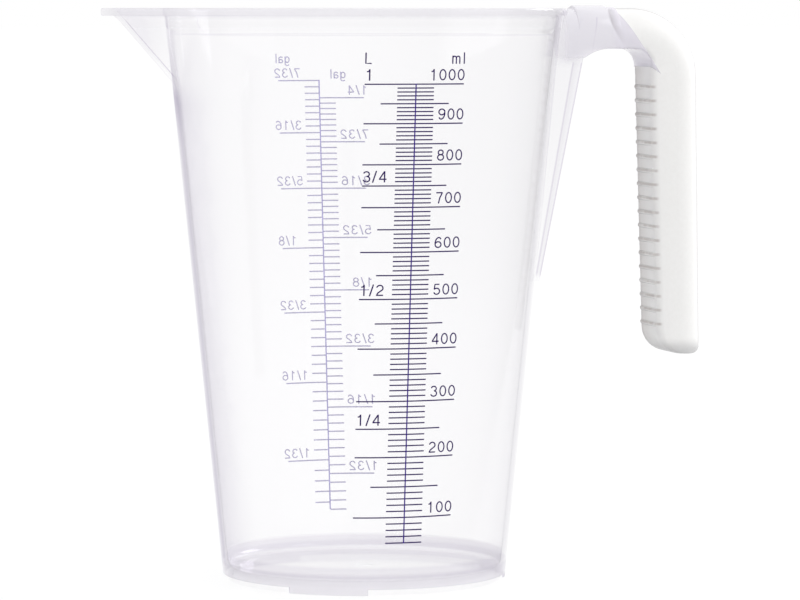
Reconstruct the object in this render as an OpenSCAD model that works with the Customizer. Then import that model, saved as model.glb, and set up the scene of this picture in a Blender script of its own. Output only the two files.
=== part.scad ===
// Clear one-litre measuring jug with a pouring lip, an open stacking handle,
// a soft white grip and graduations printed on the front and the back.
// Millimetres, +Z up. The origin is the centre of the base on the resting plane,
// the handle points along +X and the pouring lip along -X.

/* [Body] */
// Height of the rim above the resting plane
jug_h = 167; // [160:0.5:175]
// Outer radius of the wall, where its slope meets the resting plane
foot_r = 41.3; // [40:0.1:43]
// Outer radius of the wall at the height of the rim
rim_r = 58; // [57:0.1:59]
// Thickness of the wall
wall_t = 1.6; // [1.2:0.1:2]
// Height of the inner floor above the resting plane
floor_z = 3.75; // [3.5:0.05:4.5]
// Thickness of the floor
floor_t = 2; // [1.6:0.1:2.4]
// Radius of the fillet between the floor and the wall
corner_r = 2.4; // [1.5:0.1:4]
// Radius of the moulding gate's mark on the floor
gate_r = 2.8; // [2:0.1:4]
// Depth of the moulding gate's mark
gate_d = 0.5; // [0.2:0.1:0.8]

/* [Foot ring] */
// Number of feet that stand proud on the ring
feet = 3; // [3:1:4]
// Angle that one foot spans
foot_angle = 33; // [20:1:45]
// Thickness of the ring
ring_t = 1.5; // [1.2:0.1:2]
// Inset of the ring from the wall's outer surface between the feet
ring_inset = 1.2; // [0.8:0.1:1.6]

/* [Rim] */
// Thickness of the rim's flange
flange_t = 2.2; // [1.6:0.1:3]
// Width of the flange beyond the wall
flange_w = 1.5; // [1.2:0.1:2]
// Depth of the collar's lower edge below the rim's top
collar_drop = 7.4; // [6:0.1:9]
// Amount that the collar stands proud of the wall
collar_w = 0.9; // [0.5:0.1:1.1]
// Height of the slope under the collar
collar_slope_h = 1.4; // [1:0.1:2]
// Radius of the collar's lower corners
collar_corner_r = 3; // [2:0.5:4]
// Distance of the collar's end beside the lip from the jug's axis
collar_lip_x = 55; // [53:0.5:56]
// Distance of the collar's end beside the handle from the jug's axis
collar_handle_x = 50; // [48:0.5:51]

/* [Pouring lip] */
// Reach of the lip's wall from the axis, at the height of the rim
lip_x = 76.8; // [74:0.1:79]
// Depth of the lip's lowest point below the rim
lip_drop = 24; // [20:0.5:28]
// Angle between the lip's middle plane and one side, seen from above
lip_plan_angle = 42; // [38:1:46]
// Thickness of the lip's wall
lip_t = 1.3; // [1:0.1:1.6]
// Outer radius of the lip's keel
keel_r = 2.2; // [1.8:0.1:2.6]
// Width of the flange beyond the lip's wall
lip_flange_w = 1.2; // [1:0.1:1.8]
// Radius of the flange at the lip's tip
lip_tip_r = 3; // [2:0.5:4]
// Radius that joins the lip's flange to the round flange
lip_join_r = 9; // [6:1:12]

/* [Handle] */
// Width of the handle
handle_w = 17; // [15:0.5:19]
// Distance of the handle's back from the axis, where the arch ends
handle_x = 102.1; // [98:0.1:106]
// Radius of the arch along the handle's back
arch_r = 20.1; // [18:0.1:22]
// Depth of the grip from its inner face to its back
grip_d = 16.2; // [15.6:0.1:17]
// Length of the handle from the rim's top to its free end
handle_l = 102.6; // [92:0.1:112]
// Outward lean of the grip's back, per length
back_lean_share = 0.0165; // [0:0.0005:0.03]
// Outward lean of the grip's inner face, per length
face_lean_share = 0.031; // [0:0.0005:0.04]
// Depth of the bridge between the body and the grip
bridge_d = 12; // [11:0.1:13]
// Depth of the bridge at its root on the body
root_d = 14.6; // [14:0.1:15.5]
// Place of the finger gap's inner top corner, as a share from the rim to the grip
gap_corner_share = 0.538; // [0.5:0.002:0.58]
// Radius of the finger gap's corner beside the body, as a share of the same
gap_root_share = 0.43; // [0.38:0.01:0.46]
// Radius of the finger gap's corner beside the grip, as a share of the same
gap_grip_share = 0.179; // [0.15:0.001:0.21]
// Radius of the free end's inner corner
end_inner_r = 7.5; // [5:0.5:9]
// Radius of the free end's outer corner
end_outer_r = 2; // [1:0.5:4]
// Height of the pad on top of the bridge
pad_h = 0.9; // [0.5:0.1:1.2]
// Distance of the pad's inner end from the axis
pad_x = 63.5; // [62:0.5:65]
// Length of the pad
pad_l = 10; // [8:0.5:12]
// Length of the lower step beyond the pad
pad_step_l = 3; // [2:0.5:4]

/* [Gusset] */
// Distance of the gusset's edge from the axis at the bridge's root
gusset_x = 66.3; // [65:0.1:68]
// Lean of the gusset's edge, per length
gusset_lean_share = 0.192; // [0.18:0.001:0.2]
// Length of the gusset below the bridge's root
gusset_l = 66; // [50:1:70]
// Width of the gusset at the bridge's root
gusset_top_w = 8.6; // [6:0.1:10]
// Width of the gusset at its lower end
gusset_end_w = 3.6; // [2:0.1:5]

/* [Grip] */
// Thickness of the white skin around the clear tang
skin_t = 2.4; // [2:0.1:3]
// Depth of the joint's point from the handle's back
joint_depth = 13.3; // [12:0.1:14.5]
// Depth of the joint's point below the rim's top
joint_drop = 19.4; // [17:0.1:21]
// Slope of the joint's upper edge from the vertical
joint_upper_angle = 34.3; // [30:0.5:38]
// Slope of the joint's lower edge from the horizontal
joint_lower_angle = 35.5; // [25:0.5:40]
// Least distance of the ribs from the free end
rib_low_gap = 8.5; // [8:0.5:20]
// Spacing of the ribs
rib_pitch = 4.14; // [3.5:0.01:4.2]
// Depth of the top rib below the rim's top
rib_drop = 23.3; // [23:0.1:25]
// Radius of a rib
rib_r = 0.8; // [0.6:0.1:1]
// Amount that a rib stands proud of the inner face
rib_proud = 0.45; // [0.3:0.05:0.6]
// Distance of a rib's end from the side of the grip
rib_end_gap = 1.2; // [0.8:0.1:2]

/* [Graduations] */
// Thickness of the printed ink
ink_t = 0.1; // [0.08:0.01:0.15]
// Width of a printed line
line_w = 0.36; // [0.25:0.01:0.5]
// Half length of a short metric line
metric_short = 5.3; // [4:0.1:6]
// Half length of a medium metric line
metric_medium = 9.9; // [8:0.1:11]
// Half length of a long metric line
metric_long = 14.4; // [13:0.1:16]
// Length of a short gallon line
gallon_short = 4.8; // [4:0.1:6]
// Length of a long gallon line
gallon_long = 13.3; // [12:0.1:15]
// Offset of the gallon scales' middle line towards the handle
gallon_x = 1.15; // [0:0.05:2]

/* [Hidden] */
$fn = 96;

// Overrun of a cut past the face that it opens
cut = wall_t;

// Slope of the wall, and the outer and inner radius at a height
wall_share = (rim_r - foot_r) / jug_h;
function outer_r(z) = foot_r + wall_share * z;
function inner_r(z) = outer_r(z) - wall_t;
floor_under_z = floor_z - floor_t;

// Keel of the pouring lip: its lowest point on the wall, and its slope
keel_z = jug_h - lip_drop;
keel_x = outer_r(keel_z);
keel_angle = atan((lip_x - keel_x) / lip_drop);
lip_angle = atan(tan(lip_plan_angle) / cos(keel_angle));
keel_l = lip_drop / cos(keel_angle);
lip_inner_r = keel_r - lip_t;
lip_centre = keel_r / sin(lip_angle);
flange_r = rim_r + flange_w;
flange_z = jug_h - flange_t;

// Handle: the arch's centre, and the edges of the finger gap
arch_x = handle_x - arch_r;
arch_z = jug_h - arch_r;
bridge_z = jug_h - bridge_d;
root_z = jug_h - root_d;
gap_l = handle_x - grip_d - rim_r;
gap_corner_x = rim_r + gap_corner_share * gap_l;
gap_root_r = gap_root_share * gap_l;
gap_grip_r = gap_grip_share * gap_l;
gap_grip_z = bridge_z - gap_grip_r;
gap_root_z = bridge_z - gap_root_r;
handle_end_z = jug_h - handle_l;
joint_x = handle_x - joint_depth;
joint_z = jug_h - joint_drop;
grip_ribs = 1 + floor((handle_l - rib_drop - rib_low_gap) / rib_pitch);
function face_x(z) = handle_x - grip_d + face_lean_share * (arch_z - z);
function back_x(z) = handle_x + back_lean_share * (arch_z - z);
far_x = 1.3 * handle_x;

// Inner volume up to a height is that of a cone's frustum, so the height of a
// volume in millilitres follows in closed form
floor_r = inner_r(floor_z);
ml = 1000;
function level(v) =
    floor_z + (pow(pow(floor_r, 3) + 3 * wall_share * v * ml / PI, 1 / 3) - floor_r) / wall_share;
uk_gallon = 4546.09;
us_gallon = 3785.41;
gallon_parts = 256;

// Flat shapes

// A V with a round point of radius r, opening along +X from its point's centre
module vee(r, half_angle, l) {
    px = -r * sin(half_angle);
    py = r * cos(half_angle);
    circle(r);
    polygon([[px, py], [px + l * cos(half_angle), py + l * sin(half_angle)],
        [px + l * cos(half_angle), -py - l * sin(half_angle)], [px, -py]]);
}

// The hollow of the jug, from the axis outwards, with the floor's fillet
module hollow_profile() {
    lean = sqrt(1 + pow(wall_share, 2));
    cx = floor_r + wall_share * corner_r - corner_r * lean;
    cz = floor_z + corner_r;
    top_z = jug_h + cut;
    difference() {
        polygon([[0, floor_z], [floor_r, floor_z], [inner_r(top_z), top_z], [0, top_z]]);
        difference() {
            polygon([[cx, floor_z - cut], [floor_r + cut, floor_z - cut],
                [cx + corner_r / lean + cut, cz - corner_r * wall_share / lean],
                [cx, cz - corner_r * wall_share / lean]]);
            translate([cx, cz]) circle(corner_r);
        }
    }
}

// The flange seen from above: a ring's disc, the lip and the radii between them
module flange_plan() {
    tip_x = lip_x + lip_flange_w - lip_tip_r;
    side = tip_x * sin(lip_plan_angle) + lip_tip_r;
    circle(flange_r);
    translate([-tip_x, 0]) vee(lip_tip_r, lip_plan_angle, lip_x / 2);
    for (s = [-1, 1])
        scale([1, s]) lip_join(side);
}

// Fills the corner between the lip's side and the round flange with a radius
module lip_join(side) {
    n = [-sin(lip_plan_angle), cos(lip_plan_angle)];
    u = [cos(lip_plan_angle), sin(lip_plan_angle)];
    t_join = -sqrt(pow(flange_r + lip_join_r, 2) - pow(side + lip_join_r, 2));
    t_meet = -sqrt(pow(flange_r, 2) - pow(side, 2));
    q = (side + lip_join_r) * n + t_join * u;
    difference() {
        polygon([(side - cut) * n + t_join * u, side * n + t_join * u, q,
            q * flange_r / (flange_r + lip_join_r), q * (flange_r - cut) / (flange_r + lip_join_r),
            (side - cut) * n + t_meet * u]);
        translate(q) circle(lip_join_r);
    }
}

// Outline of the collar seen from the front, with round lower corners
module collar_front() {
    z = jug_h - collar_drop;
    r = collar_corner_r;
    translate([-collar_lip_x, z + r]) square([collar_lip_x + collar_handle_x, collar_drop - r]);
    translate([r - collar_lip_x, z]) square([collar_lip_x + collar_handle_x - 2 * r, collar_drop]);
    for (x = [r - collar_lip_x, collar_handle_x - r])
        translate([x, z + r]) circle(r);
}

// The finger gap seen from the side, widened all round by a margin
module gap_side(margin) {
    low_z = -cut;
    corner_x = face_x(gap_grip_z) - gap_grip_r;
    translate([gap_corner_x, gap_root_z]) circle(gap_root_r + margin);
    translate([corner_x, gap_grip_z]) circle(gap_grip_r + margin);
    translate([gap_corner_x, gap_root_z])
        square([corner_x - gap_corner_x, gap_root_r + margin]);
    polygon([[0, low_z], [0, root_z + margin], [gap_corner_x - gap_root_r / 2, root_z + margin],
        [gap_corner_x, gap_root_z], [corner_x, gap_grip_z],
        [face_x(gap_grip_z) + margin, gap_grip_z], [face_x(low_z) + margin, low_z]]);
}

// The part of the handle's side view that is the white grip
module grip_side() {
    up = jug_h + pad_h + cut - joint_z;
    along = joint_x - face_x(gap_grip_z) + gap_grip_r;
    polygon([[joint_x, joint_z], [joint_x - up * tan(joint_upper_angle), joint_z + up],
        [far_x, joint_z + up], [far_x, 0], [joint_x - along, 0],
        [joint_x - along, joint_z + along * tan(joint_lower_angle)]]);
}

// Rounds of the free end, seen from the side and cut away from it
module end_side(margin) {
    z = handle_end_z + margin;
    in_r = max(end_inner_r - margin, margin);
    out_r = end_outer_r;
    in_x = face_x(z) + margin;
    out_x = back_x(z) - margin;
    square([far_x, z]);
    difference() {
        translate([in_x - cut, z - cut]) square(in_r + cut);
        translate([in_x + in_r, z + in_r]) circle(in_r);
    }
    difference() {
        translate([out_x - out_r, z - cut]) square(out_r + cut);
        translate([out_x - out_r, z + out_r]) circle(out_r);
    }
}

// Extrudes a side view drawn in X and Z over the handle's width
module across() {
    rotate([90, 0, 0]) linear_extrude(2 * handle_w, center = true) children();
}

// Section of the handle: a flat block with a half-round back, out from the centre
module back_section(margin) {
    r = handle_w / 2 - margin;
    translate([0, -r]) square([arch_r - margin - r, 2 * r]);
    translate([arch_r - margin - r, 0]) intersection() {
        circle(r);
        translate([0, -r]) square([r, 2 * r]);
    }
}

// Solids

// Handle without its gusset: bridge, arch and leg, shrunk all round by a margin
module handle_form(margin) {
    leg_l = arch_z - handle_end_z + cut;
    lean = atan(back_lean_share);
    difference() {
        translate([arch_x, 0, arch_z]) rotate([0, -lean, 0]) union() {
            rotate([90, 0, 0]) rotate_extrude(angle = 90) back_section(margin);
            rotate([180, 0, 0]) linear_extrude(leg_l) back_section(margin);
            rotate([0, -90, 0]) linear_extrude(arch_x - rim_r / 2) back_section(margin);
        }
        across() gap_side(margin);
        across() end_side(margin);
    }
}

// Pad on top of the bridge, in two steps
module bridge_pad() {
    translate([0, 0, pad_h])
        intersection() {
            bridge_block(pad_x, pad_l);
            translate([pad_x, -handle_w, bridge_z]) cube([pad_l, 2 * handle_w, bridge_d]);
        }
    translate([0, 0, pad_h / 2])
        bridge_block(pad_x + pad_l / 2, pad_l / 2 + pad_step_l);
}

// A length of the bridge's upper half
module bridge_block(x, l) {
    translate([x + l, 0, arch_z]) rotate([0, -90, 0]) linear_extrude(l) intersection() {
        back_section(0);
        translate([bridge_z + bridge_d / 2 - arch_z, -handle_w]) square(2 * handle_w);
    }
}

// Tapered web that carries the bridge down the body
module gusset() {
    top_z = root_z + gap_root_r / 4;
    low_z = root_z - gusset_l;
    function edge_x(z) = gusset_x - gusset_lean_share * (root_z - z);
    intersection() {
        across() polygon([[inner_r(low_z), low_z], [edge_x(low_z), low_z],
            [edge_x(top_z), top_z], [inner_r(low_z), top_z]]);
        rotate([90, 0, 90]) linear_extrude(handle_x)
            polygon([[-gusset_end_w / 2, low_z], [gusset_end_w / 2, low_z],
                [gusset_top_w / 2, top_z], [-gusset_top_w / 2, top_z]]);
    }
}

// One side of the pouring lip's V, as a prism along the keel
module lip_prism(r, low, l) {
    translate([-keel_x, 0, keel_z]) rotate([0, -keel_angle, 0])
        translate([lip_centre, 0, -low]) linear_extrude(low + l + lip_x / 2)
            vee(r, lip_angle, lip_drop);
}

// The body's wall, collar, flange and lip before it is hollowed
module outer_form() {
    rotate_extrude() polygon([[0, 0], [foot_r, 0], [rim_r, jug_h], [0, jug_h]]);
    intersection() {
        lip_prism(keel_r, wall_t, keel_l);
        translate([-far_x, -rim_r, 0]) cube([far_x, 2 * rim_r, jug_h - flange_t / 2]);
    }
    translate([0, 0, flange_z]) linear_extrude(flange_t) flange_plan();
    intersection() {
        rotate_extrude() collar_profile();
        rotate([90, 0, 0]) linear_extrude(3 * rim_r, center = true) collar_front();
    }
}

// Section of the collar, with its sloping lower face
module collar_profile() {
    z0 = jug_h - collar_drop;
    z1 = z0 + collar_slope_h;
    polygon([[outer_r(z0) - wall_t / 2, z0], [outer_r(z0), z0], [outer_r(z1) + collar_w, z1],
        [rim_r + collar_w, jug_h - flange_t / 2], [outer_r(z0) - wall_t / 2, jug_h - flange_t / 2]]);
}

// What is cut from under the body: the recess inside the ring, and the ring's
// outer face between the feet
module foot_cuts() {
    ring_r = foot_r - ring_inset;
    step = 360 / feet;
    translate([0, 0, -cut]) cylinder(h = floor_under_z + cut, r = ring_r - ring_t);
    for (i = [0:feet - 1])
        rotate(i * step + foot_angle / 2) rotate_extrude(angle = step - foot_angle)
            translate([ring_r, -cut]) square([ring_inset + cut, floor_under_z + cut]);
}

// Clear body, moulded in one piece with the bridge and the grip's inner tang
module jug_body() {
    color([0.93, 0.93, 0.97, 0.35])
    difference() {
        union() {
            outer_form();
            gusset();
            bridge_pad();
            handle_form(skin_t);
            difference() {
                handle_form(0);
                across() grip_side();
            }
        }
        rotate_extrude() hollow_profile();
        lip_prism(lip_inner_r, -cut, keel_l);
        foot_cuts();
        translate([0, 0, floor_z - gate_d]) cylinder(h = floor_t, r = gate_r);
    }
}

// White grip moulded over the tang, with ribs across its inner face
module handle_grip() {
    color([0.96, 0.95, 0.94])
    difference() {
        union() {
            intersection() {
                handle_form(0);
                across() grip_side();
            }
            for (i = [0:grip_ribs - 1])
                grip_rib(jug_h - rib_drop - i * rib_pitch);
        }
        handle_form(skin_t);
    }
}

// One rib across the grip's inner face
module grip_rib(z) {
    translate([face_x(z) + rib_r - rib_proud, 0, z]) rotate([90, 0, 0])
        cylinder(h = handle_w - 2 * rib_end_gap, r = rib_r, center = true);
}

// Thin skin of ink on the wall's outer surface
module ink_skin() {
    low_z = level(0);
    high_z = jug_h - collar_drop;
    rotate_extrude() polygon([[outer_r(low_z), low_z], [outer_r(low_z) + ink_t, low_z],
        [outer_r(high_z) + ink_t, high_z], [outer_r(high_z), high_z]]);
}

// Keeps the lines drawn in X and Z where they meet one side of the wall
module print_on(side) {
    intersection() {
        ink_skin();
        scale([1, side, 1]) rotate([90, 0, 0]) linear_extrude(2 * rim_r) children();
    }
}

// One line at the height of a volume, from x0 to x1
module tick(v, x0, x1) {
    translate([x0, level(v) - line_w / 2]) square([x1 - x0, line_w]);
}

// Upright line that joins the graduations from one volume to another
module spine(x, v0, v1) {
    translate([x - line_w / 2, level(v0)]) square([line_w, level(v1) - level(v0)]);
}

// Millilitres on the front, every ten from 60 to 1000
module metric_scale() {
    color([0.2, 0.16, 0.55])
    print_on(1) {
        spine(0, 60, 1000);
        for (v = [60:10:1000]) {
            quarter = v == 250 || v == 750;
            half = v % 50 == 0 ? (v % 100 == 0 ? metric_long : metric_medium) : metric_short;
            tick(v, quarter ? -metric_long : -half, half);
        }
    }
}

// One gallon scale on the back, to one side of the middle line
module gallon_lines(gallon, top, side) {
    for (k = [4:top]) {
        l = k % 8 == 0 ? gallon_long : gallon_short;
        v = gallon * k / gallon_parts;
        tick(v, side < 0 ? gallon_x - l : gallon_x, side < 0 ? gallon_x : gallon_x + l);
    }
}

// Parts of the larger gallon, with the line that both scales share
module uk_gallon_scale() {
    color([0.42, 0.38, 0.72])
    print_on(-1) {
        spine(gallon_x - line_w / 2, us_gallon / 64, uk_gallon * 7 / 32);
        gallon_lines(uk_gallon, 56, -1);
    }
}

// Parts of the smaller gallon
module us_gallon_scale() {
    color([0.42, 0.38, 0.72])
    print_on(-1) gallon_lines(us_gallon, 64, 1);
}

jug_body();
handle_grip();
metric_scale();
uk_gallon_scale();
us_gallon_scale();
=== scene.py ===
"""Dresses the measuring jug's frame: clear body, white grip, ink, studio and camera."""

import math

import bmesh
import bpy
from mathutils import Matrix, Vector


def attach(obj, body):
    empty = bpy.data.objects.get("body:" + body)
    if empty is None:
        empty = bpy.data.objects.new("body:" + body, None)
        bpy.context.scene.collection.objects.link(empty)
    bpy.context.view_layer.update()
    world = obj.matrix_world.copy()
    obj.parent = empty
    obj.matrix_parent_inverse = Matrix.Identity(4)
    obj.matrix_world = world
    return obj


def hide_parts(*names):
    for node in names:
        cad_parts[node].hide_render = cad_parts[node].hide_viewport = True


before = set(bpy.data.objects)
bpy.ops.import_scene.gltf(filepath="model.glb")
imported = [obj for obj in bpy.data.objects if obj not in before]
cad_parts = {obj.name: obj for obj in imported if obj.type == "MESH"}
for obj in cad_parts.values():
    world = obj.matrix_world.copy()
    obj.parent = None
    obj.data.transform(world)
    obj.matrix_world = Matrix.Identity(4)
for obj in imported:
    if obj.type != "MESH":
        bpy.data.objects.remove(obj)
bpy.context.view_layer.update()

MM = 0.001

# How far the dressed wall stands outside the CAD's cone, so that the printed lines sink in it
EMBED = 0.03

# Edges sharper than this stay sharp
SHARP_DEGREES = 32

# The CAD's main sizes, in millimetres
JUG_H = 167.0
FOOT_R = 41.3
RIM_R = 58.0
WALL_T = 1.6
FLOOR_Z = 3.75
FLOOR_T = 2.0
CORNER_R = 2.4
GATE_R = 2.8
GATE_D = 0.5
RING_T = 1.5
RING_INSET = 1.2
FOOT_ANGLE = 33.0
FLANGE_T = 2.2
FLANGE_R = 59.48
COLLAR_Z = JUG_H - 7.4
COLLAR_W = 0.9
COLLAR_SLOPE = 1.4
COLLAR_R = 3.0
COLLAR_LIP_X = -55.0
COLLAR_HANDLE_X = 50.0
LIP_X = 76.8
LIP_DROP = 24.0
LIP_PLAN = math.radians(42)
LIP_T = 1.3
KEEL_R = 2.2
LIP_TIP_X = 75.0
LIP_TIP_R = 3.0
LIP_JOIN_R = 9.0
HANDLE_W = 17.0
HANDLE_X = 102.1
ARCH_R = 20.1
ARCH_X = HANDLE_X - ARCH_R
ARCH_Z = JUG_H - ARCH_R
GRIP_D = 16.2
END_Z = 64.4
BACK_LEAN = 0.0165
FACE_LEAN = 0.031
BRIDGE_Z = 155.0
ROOT_Z = 152.4
ROOT_C = (73.0, 143.0)
ROOT_R = 12.0
GRIP_GAP_R = 5.0
END_INNER_R = 7.5
END_OUTER_R = 2.0
JOINT = (88.8, 147.6)
JOINT_UP = math.tan(math.radians(34.3))
JOINT_LOW = math.tan(math.radians(35.5))

SHARE = (RIM_R - FOOT_R) / JUG_H
UNDER_Z = FLOOR_Z - FLOOR_T
FLANGE_Z = JUG_H - FLANGE_T
RING_R = FOOT_R - RING_INSET


def outer_r(z):
    """Radius of the CAD's outer cone at a height."""
    return FOOT_R + SHARE * z


def inner_r(z):
    """Radius of the CAD's inner cone at a height."""
    return outer_r(z) - WALL_T


KEEL_Z = JUG_H - LIP_DROP
KEEL_X = outer_r(KEEL_Z)
KEEL_TAN = (LIP_X - KEEL_X) / LIP_DROP
STRETCH = math.hypot(1, KEEL_TAN)
LIP_ANGLE = math.atan(math.tan(LIP_PLAN) * STRETCH)
LIP_CENTRE = KEEL_R / math.sin(LIP_ANGLE) * STRETCH

# Sizes of the dressed body alone: the thinner middle of its floor, its small rounds, and
# where the rows of its mesh grow closer
THIN = 0.8
RECESS_R = 35.0
FLOOR_ROWS = (13, 26)
RING_ROOT_ROUND = 0.5
RING_ROUND = 0.3
FLANGE_ROUND = 0.4
RIM_ROUND = 0.6
MOUTH_ROUND = 0.5
ROUND_SHARE = 0.3
COLLAR_END = 0.4
LIP_START_Z = 136
COLLAR_START_Z = 157
FLANGE_START_Z = 164.2
WALL_STEP = 4
LIP_STEP = 0.7
COLLAR_STEP = 0.25
OUTER_BLEND = 0.45
INNER_BLEND = 0.6
FOOT_MIDDLES = (60, 180)

# The handle's small parts: the clear bridge lies a hair inside the grip's surface, two low
# pads wrap it beside the grip, a gusset holds it from below, and ribs cross the grip's face
CLEAR_INSET = 0.04
CLEAR_EDGE_R = 0.8
GRIP_EDGE_R = 2.0
END_SIDE_R = 1.2
PADS = ((63.5, 73.5, 0.9), (70, 76.5, 0.45))
PAD_Z = 158.0
PAD_INSET = 0.2
PAD_RISE = 0.16
PAD_EDGE = 0.3
PAD_STEP = 0.25
SUNK = 0.3
GUSSET_H = 66
GUSSET_TOP_Z = 155.4
GUSSET_X = 66.3
GUSSET_LEAN = 0.192
GUSSET_HALF_W = 1.8
GUSSET_SPREAD = 2.5 / 69
GUSSET_EDGE_R = 0.9
RIB_COUNT = 18
RIB_TOP_Z = 143.7
RIB_PITCH = 4.14
RIB_R = 0.8
RIB_PROUD = 0.45
RIB_INSET = 1.2
RIB_TURN = math.radians(87.3)
CUT_H = 25
CUT_LOW_Z = -5
CUT_FAR_X = 140
CUT_HALF_W = 20
CUT_SHARE = 0.3


def face_x(z):
    """X of the grip's inner face."""
    return HANDLE_X - GRIP_D + FACE_LEAN * (ARCH_Z - z)


# Mesh tools

def add_mesh(name, verts, faces):
    """An object from points in millimetres and faces."""
    mesh = bpy.data.meshes.new(name)
    mesh.from_pydata([Vector(v) * MM for v in verts], [], faces)
    mesh.validate()
    obj = bpy.data.objects.new(name, mesh)
    bpy.context.scene.collection.objects.link(obj)
    return obj


def loft(name, rings):
    """A closed solid through rings of points, with a flat cap at each end."""
    n = len(rings[0])
    verts = [p for ring in rings for p in ring]
    faces = []
    for i in range(len(rings) - 1):
        for j in range(n):
            k = (j + 1) % n
            faces.append((i * n + j, i * n + k, (i + 1) * n + k, (i + 1) * n + j))
    faces.append(tuple(reversed(range(n))))
    faces.append(tuple(range((len(rings) - 1) * n, len(rings) * n)))
    return add_mesh(name, verts, faces)


def apply_boolean(obj, other, operation):
    """Joins, cuts or crosses obj with other, and removes other."""
    mod = obj.modifiers.new("solid", "BOOLEAN")
    mod.object = other
    mod.operation = operation
    mod.solver = "MANIFOLD"
    graph = bpy.context.evaluated_depsgraph_get()
    mesh = bpy.data.meshes.new_from_object(obj.evaluated_get(graph))
    obj.modifiers.clear()
    obj.data = mesh
    bpy.data.objects.remove(other, do_unlink=True)
    return obj


def shade(obj, degrees):
    """Smooth shading, with edges sharper than an angle kept."""
    obj.data.shade_smooth()
    obj.data.set_sharp_from_angle(angle=math.radians(degrees))


def side_prism(name, outline, half_w):
    """A prism across the handle from an outline in X and Z."""
    return loft(name, [[(x, y, z) for x, z in outline] for y in (-half_w, half_w)])


def steps(a, b, step):
    """Even values from a to just before b, about a step apart."""
    n = max(1, round(abs(b - a) / step))
    return [a + (b - a) * i / n for i in range(n)]


def smooth_max(a, b, k):
    """The larger of two values, blended over about k where they are alike."""
    return (a + b + math.hypot(a - b, k)) / 2


# Directions in a column of rows
LEFT, RIGHT, DOWN, UP = (-1, 0), (1, 0), (0, -1), (0, 1)


def corner(r, z, before, after, size):
    """Three rows that round a corner between two directions that leave it."""
    mid = [ROUND_SHARE * (before[i] + after[i]) for i in range(2)]
    return [(r + size * dr, z + size * dz) for dr, dz in (before, mid, after)]


# Body: one grid of rings round the axis, with a column for each angle from the lip

def lip_radius(t, z, r):
    """Radius of the lip's V at an angle from the lip, for a point of radius r."""
    xc = KEEL_X + (z - KEEL_Z) * KEEL_TAN - LIP_CENTRE
    apex = xc + r / math.sin(LIP_ANGLE) * STRETCH
    side = apex * math.sin(LIP_PLAN) / math.cos(min(t - math.pi / 2 + LIP_PLAN, 0))
    if side * math.sin(t) > r * math.cos(LIP_ANGLE):
        return side
    a = (math.cos(t) / STRETCH) ** 2 + math.sin(t) ** 2
    b = xc * math.cos(t) / STRETCH ** 2
    c = (xc / STRETCH) ** 2 - r * r
    return (b + math.sqrt(max(b * b - a * c, 0))) / a


def wall_out(t, z):
    """Radius of the wall's outside, with the lip, at an angle from the lip."""
    cone = outer_r(z) + EMBED
    if z < LIP_START_Z:
        return cone
    return smooth_max(cone, lip_radius(t, z, KEEL_R), OUTER_BLEND)


def wall_in(t, z):
    """Radius of the wall's inside, with the lip, at an angle from the lip."""
    cone = inner_r(z)
    if z < LIP_START_Z:
        return cone
    return smooth_max(cone, lip_radius(t, z, KEEL_R - LIP_T), INNER_BLEND)


def flange_radius(t):
    """Outline of the flange seen from above."""
    line = LIP_TIP_X * math.sin(LIP_PLAN) + LIP_TIP_R
    n = (math.sin(LIP_PLAN), math.cos(LIP_PLAN))
    u = (-math.cos(LIP_PLAN), math.sin(LIP_PLAN))
    far = FLANGE_R + LIP_JOIN_R
    along = -math.sqrt(far ** 2 - (line + LIP_JOIN_R) ** 2)
    q = [(line + LIP_JOIN_R) * n[i] + along * u[i] for i in range(2)]
    foot = [line * n[i] + along * u[i] for i in range(2)]
    if t >= math.atan2(q[1], q[0]):
        return FLANGE_R
    if t > math.atan2(foot[1], foot[0]):
        b = q[0] * math.cos(t) + q[1] * math.sin(t)
        return b - math.sqrt(max(b * b - far ** 2 + LIP_JOIN_R ** 2, 0))
    side = line / math.cos(t - math.pi / 2 + LIP_PLAN)
    if side * math.sin(t) > LIP_TIP_R * math.cos(LIP_PLAN):
        return side
    return LIP_TIP_X * math.cos(t) + math.sqrt(LIP_TIP_R ** 2 - (LIP_TIP_X * math.sin(t)) ** 2)


def collar(t, z):
    """How far the collar stands proud of the wall."""
    x = -(outer_r(z) + COLLAR_W) * math.cos(t)
    dx = min(x - COLLAR_LIP_X, COLLAR_HANDLE_X - x)
    dz = z - COLLAR_Z
    if dx <= 0 or dz <= 0:
        return 0.0
    if dx < COLLAR_R and dz < COLLAR_R:
        d = COLLAR_R - math.hypot(COLLAR_R - dx, COLLAR_R - dz)
        turn = math.atan2(COLLAR_R - dz, COLLAR_R - dx) / (math.pi / 2)
        slope = COLLAR_END + (COLLAR_SLOPE - COLLAR_END) * turn
        share = d / slope
    else:
        share = min(dx / COLLAR_END, dz / COLLAR_SLOPE)
    return COLLAR_W * min(max(share, 0), 1)


def ring_outer(t):
    """Outer radius of the foot ring, or 0 at the three feet, which are flush with the wall."""
    degrees = math.degrees(t)
    for middle in FOOT_MIDDLES:
        if abs(degrees - middle) < FOOT_ANGLE / 2:
            return 0.0
    return RING_R


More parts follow.
